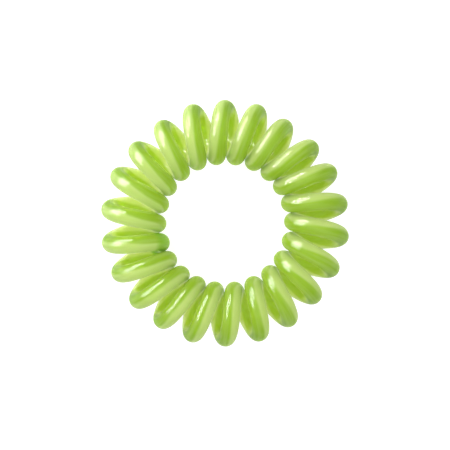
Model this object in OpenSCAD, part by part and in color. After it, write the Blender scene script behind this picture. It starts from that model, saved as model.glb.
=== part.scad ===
// Spiral hair tie: one springy wire wound as a coil, its two ends joined so that it closes into a ring.
// The ring lies on a table, with its axis along Z and the middle of its opening at the origin.

/* [Ring] */
// Outer diameter of the ring at rest, over the turns that reach furthest
ring_d = 40; // [34:1:60]

/* [Coil] */
// Width of the coil, from the opening to the outside of the ring
coil_w = 10.6; // [9:0.2:13]
// Thickness of the wire
wire_d = 2.8; // [2.2:0.1:3.2]
// Clearance between neighbouring turns where they crowd round the opening, if they lie evenly
turn_gap = 0.2; // [0.2:0.05:1]
// How unevenly the turns lie, from 0 for a perfectly even coil
unevenness = 1; // [0:0.1:1]

/* [Join] */
// How much thicker than the wire the swelling is where its two ends are joined
join_swell = 0.2; // [0.1:0.05:0.3]
// Turn whose inner tip has the join, counted clockwise from the ring's top
join_turn = 15; // [0:1:40]

/* [Hidden] */
$fn = 48;

// Reach of the wire's middle from the ring's axis, at its outer and inner tips
outer_tip_r = (ring_d - wire_d) / 2;
inner_tip_r = ring_d / 2 - coil_w + wire_d / 2;

// As many turns as fit round the opening with the clearance between them, each with two tips
turns = floor(180 / asin((wire_d + turn_gap) / (2 * inner_tip_r)));
tips = 2 * turns;
// Angles round the ring: from turn to turn, and what the wire leaves free of that at the opening
pitch = 360 / turns;
spare = pitch - 2 * asin(wire_d / (2 * inner_tip_r));
join_tip = 2 * (join_turn % turns) + 1;

// How each turn strays from its even place, clockwise from the ring's top:
// OUT_SIDE  outer tip's shift clockwise, in shares of the pitch
// OUT_SHORT how far the outer tip falls short of the full reach, in shares of the wire's thickness
// IN_SIDE   inner tip's shift clockwise, in shares of the room left beside the wire
OUT_SIDE = 0;
OUT_SHORT = 1;
IN_SIDE = 2;
LAY = [
    [0, 0.08, 0.5],
    [-0.02, 0.07, 0.4],
    [-0.07, 0.22, 0],
    [-0.02, 0.17, -0.35],
    [-0.08, 0.07, -0.7],
    [-0.08, 0.05, -1],
    [-0.1, 0.04, -0.9],
    [-0.09, 0.09, -0.4],
    [-0.09, 0.15, -0.4],
    [-0.05, 0.12, -0.1],
    [-0.04, 0.1, 0.3],
    [0, 0.1, 0.6],
    [0.01, 0.07, 0.3],
    [0.02, 0.06, 0.1],
    [-0.01, 0.02, 0.1],
    [-0.03, 0, -0.1],
    [-0.08, 0, 0],
    [-0.07, 0.01, 0.1],
    [-0.03, 0.01, -0.1],
    [-0.06, 0.11, 0.2],
    [-0.02, 0.17, 0.4],
    [0.02, 0.06, 0.5],
];

// Each bend stops this share of the wire's thickness short of its ends, where a ball a hair
// wider than the wire bridges it to the next, so that no two surfaces meet in a tangent
BEND_TRIM = 0.025;
BRIDGE = 1.01;

function polar(r, a, z = 0) = [r * sin(a), r * cos(a), z];
function unit(v) = v / norm(v);
function lay(k, column) = unevenness * LAY[floor((k % tips) / 2) % len(LAY)][column];

// Tips are counted clockwise from the ring's top: even ones are outer, odd ones inner.
// From an outer tip the wire goes down and under, from an inner one up and over
function outer(k) = k % 2 == 0;
function side(k) = outer(k) ? -1 : 1;
function tip_r(k) = outer(k) ? outer_tip_r - wire_d * lay(k, OUT_SHORT) : inner_tip_r;
function tip_a(k) = pitch * k / 2 + (outer(k) ? pitch * lay(k, OUT_SIDE) : spare * lay(k, IN_SIDE));
function tip(k) = polar(tip_r(k), tip_a(k));

// Crest k is where the wire is highest or lowest, midway from tip k to tip k + 1
function crest_h(k) = abs(tip_r(k + 1) - tip_r(k)) / 2;
function crest(k) =
    polar((tip_r(k) + tip_r(k + 1)) / 2, (tip_a(k) + tip_a(k + 1)) / 2, side(k) * crest_h(k));

// The wire's direction at tip k: up or down, and round the ring by as much as a helix moves on there
function heading(k) =
    let (on = tip_r(k) * (tip_a(k + 1) - tip_a(k - 1)) / 360)
    unit([on * cos(tip_a(k)), -on * sin(tip_a(k)), side(k) * (crest_h(k - 1) + crest_h(k)) / 2]);

// Height of the tips over the table, on which the deepest crests lie
tip_z = wire_d / 2 + max([for (k = [2 : 2 : tips]) crest_h(k)]);

// An arc of wire that leaves point p in direction t and ends at point q
module bend(p, t, q) {
    chord = q - p;
    inward = unit(chord - (chord * t) * t);
    r = chord * chord / (2 * chord * inward);
    axis = cross(t, inward);
    turn_a = 2 * atan2(chord * inward, chord * t);
    trim_a = asin(BEND_TRIM * wire_d / r);
    translate(p + r * inward)
        multmatrix([for (i = [0 : 2]) [-inward[i], t[i], axis[i], 0]])
            rotate([0, 0, trim_a])
                rotate_extrude(angle = turn_a - 2 * trim_a)
                    translate([r, 0])
                        circle(d = wire_d);
}

// A ball at point p, its poles along the wire's direction t
module ball(p, t, d) {
    translate(p)
        rotate([0, acos(t[2]), atan2(t[1], t[0])])
            sphere(d = d);
}

module spiral_coil() {
    color([0.58, 0.75, 0.18])
        translate([0, 0, tip_z]) {
            for (k = [1 : tips]) {
                bend(tip(k), heading(k), crest(k));
                bend(tip(k), -heading(k), crest(k - 1));
                ball(tip(k), heading(k), BRIDGE * wire_d);
                ball(crest(k), unit(tip(k + 1) - tip(k)), BRIDGE * wire_d);
            }
            // The join's swelling
            ball(tip(join_tip), heading(join_tip), wire_d + join_swell);
        }
}

spiral_coil();
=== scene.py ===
import math

import bpy
import numpy as np
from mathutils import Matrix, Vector


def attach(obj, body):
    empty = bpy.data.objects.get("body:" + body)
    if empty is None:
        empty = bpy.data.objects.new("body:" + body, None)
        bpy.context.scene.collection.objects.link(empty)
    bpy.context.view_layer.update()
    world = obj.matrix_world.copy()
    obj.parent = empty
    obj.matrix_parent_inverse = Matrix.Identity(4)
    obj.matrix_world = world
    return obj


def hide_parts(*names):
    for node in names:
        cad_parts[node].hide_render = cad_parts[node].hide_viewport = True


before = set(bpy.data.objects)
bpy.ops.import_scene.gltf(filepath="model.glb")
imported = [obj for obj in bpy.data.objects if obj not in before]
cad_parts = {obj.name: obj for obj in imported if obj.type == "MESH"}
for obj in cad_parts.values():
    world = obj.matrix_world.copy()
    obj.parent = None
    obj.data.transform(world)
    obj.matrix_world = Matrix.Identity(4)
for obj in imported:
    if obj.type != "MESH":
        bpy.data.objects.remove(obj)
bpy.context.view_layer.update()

# The ring and its wire, in metres, as the solid has them
RING_D = 0.040
COIL_W = 0.0106
WIRE_D = 0.0028
TURN_GAP = 0.0002
JOIN_SWELL = 0.0002
JOIN_TURN = 15

# Reach of the wire's middle from the ring's axis at its outer and inner tips
OUTER_R = (RING_D - WIRE_D) / 2
INNER_R = RING_D / 2 - COIL_W + WIRE_D / 2
# Turns that fit round the opening, the angle from one to the next, and what the wire leaves free of it there
TURNS = int(math.pi / math.asin((WIRE_D + TURN_GAP) / (2 * INNER_R)))
TIPS = 2 * TURNS
PITCH = 2 * math.pi / TURNS
SPARE = PITCH - 2 * math.asin(WIRE_D / (2 * INNER_R))
JOIN_TIP = 2 * JOIN_TURN + 1

# How each turn strays from its even place, clockwise from the ring's top:
# OUT_SIDE  outer tip's shift clockwise, in shares of the pitch
# OUT_SHORT how far the outer tip falls short of the full reach, in shares of the wire's thickness
# IN_SIDE   inner tip's shift clockwise, in shares of the room left beside the wire
OUT_SIDE, OUT_SHORT, IN_SIDE = range(3)
LAY = np.array([
    [0, 0.08, 0.5],
    [-0.02, 0.07, 0.4],
    [-0.07, 0.22, 0],
    [-0.02, 0.17, -0.35],
    [-0.08, 0.07, -0.7],
    [-0.08, 0.05, -1],
    [-0.1, 0.04, -0.9],
    [-0.09, 0.09, -0.4],
    [-0.09, 0.15, -0.4],
    [-0.05, 0.12, -0.1],
    [-0.04, 0.1, 0.3],
    [0, 0.1, 0.6],
    [0.01, 0.07, 0.3],
    [0.02, 0.06, 0.1],
    [-0.01, 0.02, 0.1],
    [-0.03, 0, -0.1],
    [-0.08, 0, 0],
    [-0.07, 0.01, 0.1],
    [-0.03, 0.01, -0.1],
    [-0.06, 0.11, 0.2],
    [-0.02, 0.17, 0.4],
    [0.02, 0.06, 0.5],
])

# The wire's mesh
RINGS_PER_TURN = 72
SIDES = 32

# Length of the join's swelling along the wire, how far its darker plastic goes from its middle, and over
# what length that fades
JOIN_LENGTH = 1.1 * WIRE_D
JOIN_DARK = 0.0034
JOIN_FADE = 0.0008

# Where the paler half ends on the wire, by tips passed since an inner one: degrees clockwise from the wire's
# outer side, and, as painted light, how many degrees further it goes at the angle set below, clockwise from
# the ring's top, which is the side the key light comes from, and less far opposite. It winds once round the
# wire in each turn
PALE_END = np.array([
    [0, -60, 0],
    [0.2, -15, 0],
    [0.4, -4, 0],
    [0.65, 4, 22],
    [0.8, 2, 24],
    [0.9, 4, 24],
    [1, 36, 20],
    [1.1, 88, 15],
    [1.2, 125, 12],
    [1.35, 150, 12],
    [1.55, 178, 12],
    [1.75, 210, 12],
    [1.9, 240, 6],
    [2, 300, 0],
])
# Painted light: the side of the ring towards the key light, where the paler half reaches further
PAINTED_LIGHT_ANGLE = math.radians(290)


def lay(tip, column):
    return LAY[(tip % TIPS) // 2, column]


def tip_reach(tip):
    """Distance of these tips from the ring's axis. Even tips are outer, odd ones inner."""
    return np.where(tip % 2 == 0, OUTER_R - WIRE_D * lay(tip, OUT_SHORT), INNER_R)


def tip_stray(tip):
    """Angle by which these tips lie off their even places, clockwise."""
    return np.where(tip % 2 == 0, PITCH * lay(tip, OUT_SIDE), SPARE * lay(tip, IN_SIDE))


def on_ring(reach, angle, height):
    """Points at these distances from the ring's axis and angles clockwise from its top."""
    return np.stack([reach * np.sin(angle), reach * np.cos(angle), height], axis=-1)


def unit(vectors):
    return vectors / np.linalg.norm(vectors, axis=-1, keepdims=True)


def coil_line(phase):
    """The wire's middle, and the middle of the coil beside it, at phases that count the tips."""
    tip = np.floor(phase).astype(int)
    ease = (1 - np.cos(np.pi * (phase - tip))) / 2
    here, there = tip_reach(tip), tip_reach(tip + 1)
    stray = tip_stray(tip) + (tip_stray(tip + 1) - tip_stray(tip)) * ease
    angle = PITCH * phase / 2 + stray
    over = np.where(tip % 2 == 0, -1, 1) * np.abs(there - here) / 2 * np.sin(np.pi * (phase - tip))
    core = on_ring((here + there) / 2, angle, np.zeros_like(phase))
    return on_ring(here + (there - here) * ease, angle, over), core


def wire_frame(line, core):
    """Directions across the wire at each point of its line: out from the coil's core, and clockwise."""
    along = unit(np.roll(line, -1, axis=0) - np.roll(line, 1, axis=0))
    out = line - core
    out = unit(out - np.sum(out * along, axis=1, keepdims=True) * along)
    return out, np.cross(along, out)


def add_attribute(mesh, name, values):
    mesh.attributes.new(name, "FLOAT", "POINT").data.foreach_set("value", values.astype(np.float32))


def tube_faces(rings):
    """Quads of a closed tube, between these rings of points and back to the first."""
    ring = np.arange(rings)[:, None] * SIDES
    next_ring = np.roll(ring, -1, axis=0)
    side = np.arange(SIDES)[None, :]
    next_side = np.roll(side, -1, axis=1)
    corners = [ring + side, ring + next_side, next_ring + next_side, next_ring + side]
    return np.stack(corners, axis=-1).reshape(-1, 4)


def pale_end(phase):
    """Angle round the wire, clockwise from its outer side, at which its paler half ends at these phases."""
    tips_passed = (phase - 1) % 2
    even = np.interp(tips_passed, PALE_END[:, 0], PALE_END[:, 1])
    # Painted light: the paler half goes further on the side of the ring towards the key light
    painted_light_drift = np.interp(tips_passed, PALE_END[:, 0], PALE_END[:, 2])
    return np.radians(even + painted_light_drift * np.cos(PITCH * phase / 2 - PAINTED_LIGHT_ANGLE))


def tip_painted_shade(phase):
    """How much of the tips' painted shade the wire takes at these phases."""
    near_outer = np.maximum(np.cos(np.pi * phase), 0)
    near_inner = np.maximum(-np.cos(np.pi * phase), 0)
    return TIP_SHADE_SHARE * near_outer ** 2 + INNER_TIP_SHADE_SHARE * near_inner ** 2


def make_coil():
    """The whole wire as one closed tube. Its first ring of points is at the join."""
    rings = TURNS * RINGS_PER_TURN
    phase = JOIN_TIP + TIPS * np.arange(rings) / rings
    line, core = coil_line(phase)
    rise = [0, 0, WIRE_D / 2 - line[:, 2].min()]
    line += rise
    core += rise
    out, clockwise = wire_frame(line, core)
    steps = np.linalg.norm(np.roll(line, -1, axis=0) - line, axis=1)
    length = np.concatenate([[0], np.cumsum(steps)])[:-1]
    from_join = np.minimum(length, steps.sum() - length)
    radius = WIRE_D / 2 + JOIN_SWELL / 2 * np.exp(-(2 * from_join / JOIN_LENGTH) ** 2)
    join_tint = JOIN_SHARE * np.clip((JOIN_DARK - from_join) / JOIN_FADE, 0, 1)
    turn = 2 * np.pi * np.arange(SIDES) / SIDES
    across = np.cos(turn)[None, :, None] * out[:, None] + np.sin(turn)[None, :, None] * clockwise[:, None]
    points = (line[:, None] + radius[:, None, None] * across).reshape(-1, 3)
    mesh = bpy.data.meshes.new("coil_wire")
    mesh.from_pydata(points.tolist(), [], tube_faces(rings).tolist())
    add_attribute(mesh, "out", np.tile(np.cos(turn), rings))
    add_attribute(mesh, "clockwise", np.tile(np.sin(turn), rings))
    add_attribute(mesh, "deep", np.sin(turn[None, :] - pale_end(phase)[:, None]).ravel())
    # The tips' share of painted shade
    add_attribute(mesh, "tip", np.repeat(tip_painted_shade(phase), SIDES))
    add_attribute(mesh, "join", np.repeat(join_tint, SIDES))
    add_attribute(mesh, "along", np.repeat(length, SIDES))
    mesh.shade_smooth()
    obj = bpy.data.objects.new("coil_wire", mesh)
    bpy.context.scene.collection.objects.link(obj)
    return obj


# Two tones that wind round the wire. The paler one runs along the wire's counter-clockwise side
PALE = (0.475, 0.63, 0.165, 1)
DEEP = (0.295, 0.47, 0.028, 1)
# The same tones painted brighter on the side towards the coil's core, as painted light that stands in for
# light let through the plastic where the turns shade each other, and the cosines of the angle round the wire
# between which one changes to the other
PALE_PAINTED_LIGHT = (0.68, 0.8, 0.28, 1)
DEEP_PAINTED_LIGHT = (0.5, 0.65, 0.085, 1)
PAINTED_LIGHT_STARTS = 0.3
PAINTED_LIGHT_FULL = -0.6
# Painted shade that darkens the tips against the light the glowing table and the gloss throw on them: what
# the outer side's tones are multiplied by there, and how much of that outer and inner tips take
TIP_PAINTED_SHADE = (0.48, 0.55, 0.4, 1)
TIP_SHADE_SHARE = 1
INNER_TIP_SHADE_SHARE = 0.2
# The colour of the join, and how much of it shows in its middle
JOIN_COLOR = (0.22, 0.45, 0.03, 1)
JOIN_SHARE = 0.8
# Half the width of the change from one tone to the other, and how far its place wanders, both as
# sines of the angle round the wire
TONE_BLUR = 0.18
TONE_WANDER = 0.4
# Pearly streaks along the wire: their colour, how much of it they take, and the noise at which they start
# and are full
PEARL = (0.80, 0.88, 0.50, 1)
PEARL_SHARE = 0.12
PEARL_STARTS = 0.4
PEARL_FULL = 0.75
# Height of the skin's ripples
RIPPLE = 0.00003
# How fine the noise behind each is: round the wire, per metre along it, and how many finer layers it has
WANDER_NOISE = (0.3, 180, 1)
PEARL_NOISE = (2, 150, 3)
RIPPLE_NOISE = (1, 350, 2)
# How far light goes in the plastic, and how much of that its red, green and blue go
GLOW_DEPTH = 0.006
GLOW_REACH = (0.9, 1, 0.8)
# Its gloss, which comes from a clear coat alone
ROUGHNESS = 0.2
COAT_WEIGHT = 0.3
COAT_ROUGHNESS = 0.15


def mix_color(tree, factor, first, second, blend="MIX"):
    """A node's output that goes from one colour to the other. Each is a colour or another node's output."""
    mix = tree.nodes.new("ShaderNodeMix")
    mix.data_type = "RGBA"
    mix.blend_type = blend
    tree.links.new(factor, mix.inputs["Factor"])
    for name, color in (("A", first), ("B", second)):
        socket = next(s for s in mix.inputs if s.name == name and s.type == "RGBA")
        if isinstance(color, tuple):
            socket.default_value = color
        else:
            tree.links.new(color, socket)
    return next(s for s in mix.outputs if s.type == "RGBA")


def remap(tree, value, low, high, to_low, to_high, smooth=False):
    """A node's output that takes value's range from low to high over to another range."""
    node = tree.nodes.new("ShaderNodeMapRange")
    if smooth:
        node.interpolation_type = "SMOOTHSTEP"
    tree.links.new(value, node.inputs["Value"])
    for name, number in (("From Min", low), ("From Max", high), ("To Min", to_low), ("To Max", to_high)):
        node.inputs[name].default_value = number
    return node.outputs["Result"]


def add(tree, first, second):
    """A node's output that is the sum of two others."""
    node = tree.nodes.new("ShaderNodeMath")
    node.operation = "ADD"
    tree.links.new(first, node.inputs[0])
    tree.links.new(second, node.inputs[1])
    return node.outputs["Value"]


def scaled(tree, value, scale):
    """A node's output that is another one times a number."""
    node = tree.nodes.new("ShaderNodeMath")
    node.operation = "MULTIPLY"
    tree.links.new(value, node.inputs[0])
    node.inputs[1].default_value = scale
    return node.outputs["Value"]


def read_attribute(tree, name):
    node = tree.nodes.new("ShaderNodeAttribute")
    node.attribute_name = name
    return node.outputs["Fac"]


def wire_noise(tree, round_scale, along_scale, detail):
    """Noise on the wire's skin, by the way round the wire and the metres along it."""
    place = tree.nodes.new("ShaderNodeCombineXYZ")
    scales = {"out": round_scale, "clockwise": round_scale, "along": along_scale}
    for socket, (name, scale) in zip(place.inputs, scales.items()):
        tree.links.new(scaled(tree, read_attribute(tree, name), scale), socket)
    noise = tree.nodes.new("ShaderNodeTexNoise")
    noise.inputs["Scale"].default_value = 1
    noise.inputs["Detail"].default_value = detail
    tree.links.new(place.outputs["Vector"], noise.inputs["Vector"])
    return noise.outputs["Fac"]


def plastic_color(tree):
    """Two tones that wind round the wire, with painted light on the side towards the coil's core, painted
    shade at the tips, and pearly streaks.
    """
    wander = wire_noise(tree, *WANDER_NOISE)
    wander = remap(tree, wander, 0, 1, -TONE_WANDER / 2, TONE_WANDER / 2)
    deep = add(tree, read_attribute(tree, "deep"), wander)
    tone = remap(tree, deep, -TONE_BLUR, TONE_BLUR, 0, 1, smooth=True)
    outside_color = mix_color(tree, tone, PALE, DEEP)
    # Painted shade at the tips
    outside_color = mix_color(tree, read_attribute(tree, "tip"), outside_color, TIP_PAINTED_SHADE, "MULTIPLY")
    # Painted light on the side towards the coil's core, standing in for light let through the plastic
    painted_light_color = mix_color(tree, tone, PALE_PAINTED_LIGHT, DEEP_PAINTED_LIGHT)
    painted_light_share = remap(tree, read_attribute(tree, "out"), PAINTED_LIGHT_STARTS, PAINTED_LIGHT_FULL, 0, 1, smooth=True)
    color = mix_color(tree, painted_light_share, outside_color, painted_light_color)
    streaks = wire_noise(tree, *PEARL_NOISE)
    streaks = remap(tree, streaks, PEARL_STARTS, PEARL_FULL, 0, PEARL_SHARE)
    color = mix_color(tree, streaks, color, PEARL)
    return mix_color(tree, read_attribute(tree, "join"), color, JOIN_COLOR)


def make_plastic():
    """Glossy lime plastic that lets some light through, with a slightly rippled skin."""
    material = bpy.data.materials.new("lime_plastic")
    material.use_nodes = True
    tree = material.node_tree
    shader = tree.nodes["Principled BSDF"]
    tree.links.new(plastic_color(tree), shader.inputs["Base Color"])
    bump = tree.nodes.new("ShaderNodeBump")
    bump.inputs["Distance"].default_value = RIPPLE
    tree.links.new(wire_noise(tree, *RIPPLE_NOISE), bump.inputs["Height"])
    tree.links.new(bump.outputs["Normal"], shader.inputs["Normal"])
    tree.links.new(bump.outputs["Normal"], shader.inputs["Coat Normal"])
    shader.inputs["Roughness"].default_value = ROUGHNESS
    shader.inputs["Specular IOR Level"].default_value = 0
    shader.inputs["Coat Weight"].default_value = COAT_WEIGHT
    shader.inputs["Coat Roughness"].default_value = COAT_ROUGHNESS
    shader.inputs["Subsurface Weight"].default_value = 1
    shader.inputs["Subsurface Scale"].default_value = GLOW_DEPTH
    shader.inputs["Subsurface Radius"].default_value = GLOW_REACH
    return material


# The table reaches this far from its middle to each side
FLOOR_REACH = 3
FLOOR_COLOR = (0.45, 0.45, 0.45, 1)
FLOOR_ROUGHNESS = 0.6
FLOOR_GLOW = 0.8
WHITE = (1, 1, 1, 1)


def make_floor():
    """A white table that glows a little, as a light table does, so that no shadow greys it."""
    mesh = bpy.data.meshes.new("floor")
    signs = [(-1, -1), (1, -1), (1, 1), (-1, 1)]
    corners = [(x * FLOOR_REACH, y * FLOOR_REACH, 0) for x, y in signs]
    mesh.from_pydata(corners, [], [(0, 1, 2, 3)])
    obj = bpy.data.objects.new("floor", mesh)
    bpy.context.scene.collection.objects.link(obj)
    material = bpy.data.materials.new("white_table")
    material.use_nodes = True
    shader = material.node_tree.nodes["Principled BSDF"]
    shader.inputs["Base Color"].default_value = FLOOR_COLOR
    shader.inputs["Roughness"].default_value = FLOOR_ROUGHNESS
    shader.inputs["Emission Color"].default_value = WHITE
    shader.inputs["Emission Strength"].default_value = FLOOR_GLOW
    mesh.materials.append(material)


# Two soft lights at this distance from the ring: the direction of each, its width, its height and its watts
LIGHT_DISTANCE = 0.6
KEY = ((-0.71, 0.48, 0.51), 0.6, 0.6, 1.2)
GLEAM = ((-0.76, 0.51, 0.41), 0.9, 0.45, 40)


def add_softbox(name, direction, width, height, power):
    """A rectangular light that shines at the ring from this direction."""
    light = bpy.data.lights.new(name, "AREA")
    light.shape = "RECTANGLE"
    light.size = width
    light.size_y = height
    light.energy = power
    obj = bpy.data.objects.new(name, light)
    obj.location = Vector(direction).normalized() * LIGHT_DISTANCE
    obj.rotation_mode = "QUATERNION"
    obj.rotation_quaternion = Vector(direction).to_track_quat("Z", "Y")
    bpy.context.scene.collection.objects.link(obj)
    return obj


# How bright the room is at the height of the table and overhead, and from what height up it is brightest,
# as a sine of the angle over the table
HORIZON_GLOW = 0.05
ZENITH_GLOW = 1.15
BRIGHTEST_FROM = 0.8


def set_world():
    """A white room, dimmer towards its floor."""
    world = bpy.data.worlds.new("studio")
    world.use_nodes = True
    tree = world.node_tree
    background = tree.nodes["Background"]
    background.inputs["Color"].default_value = WHITE
    direction = tree.nodes.new("ShaderNodeTexCoord")
    split = tree.nodes.new("ShaderNodeSeparateXYZ")
    tree.links.new(direction.outputs["Generated"], split.inputs["Vector"])
    strength = remap(tree, split.outputs["Z"], 0, BRIGHTEST_FROM, HORIZON_GLOW, ZENITH_GLOW, smooth=True)
    tree.links.new(strength, background.inputs["Strength"])
    bpy.context.scene.world = world


# The photograph's frame in its pixels: how wide it is, and where the ring's middle lies in it
FRAME_PX = 450
RING_MIDDLE_PX = (225.2, 223.4)
METRES_PER_PX = 0.00016
# The lens, in millimetres
LENS = 150


def make_camera(middle_height):
    """A camera straight above that sees the ring, at this height, where the photograph has it."""
    camera = bpy.data.cameras.new("camera")
    camera.lens = LENS
    obj = bpy.data.objects.new("camera", camera)
    width = FRAME_PX * METRES_PER_PX
    distance = camera.lens / camera.sensor_width * width
    right = (FRAME_PX / 2 - RING_MIDDLE_PX[0]) * METRES_PER_PX
    up = (RING_MIDDLE_PX[1] - FRAME_PX / 2) * METRES_PER_PX
    obj.location = (right, up, middle_height + distance)
    bpy.context.scene.collection.objects.link(obj)
    bpy.context.scene.camera = obj


bpy.context.scene.view_settings.view_transform = "Standard"
coil = make_coil()
coil.data.materials.append(make_plastic())
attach(coil, "root")
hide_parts("spiral_coil")
make_floor()
set_world()
add_softbox("key", *KEY)
# The gleam lights no colour, only the gloss
add_softbox("gleam", *GLEAM).visible_diffuse = False
make_camera(COIL_W / 2)
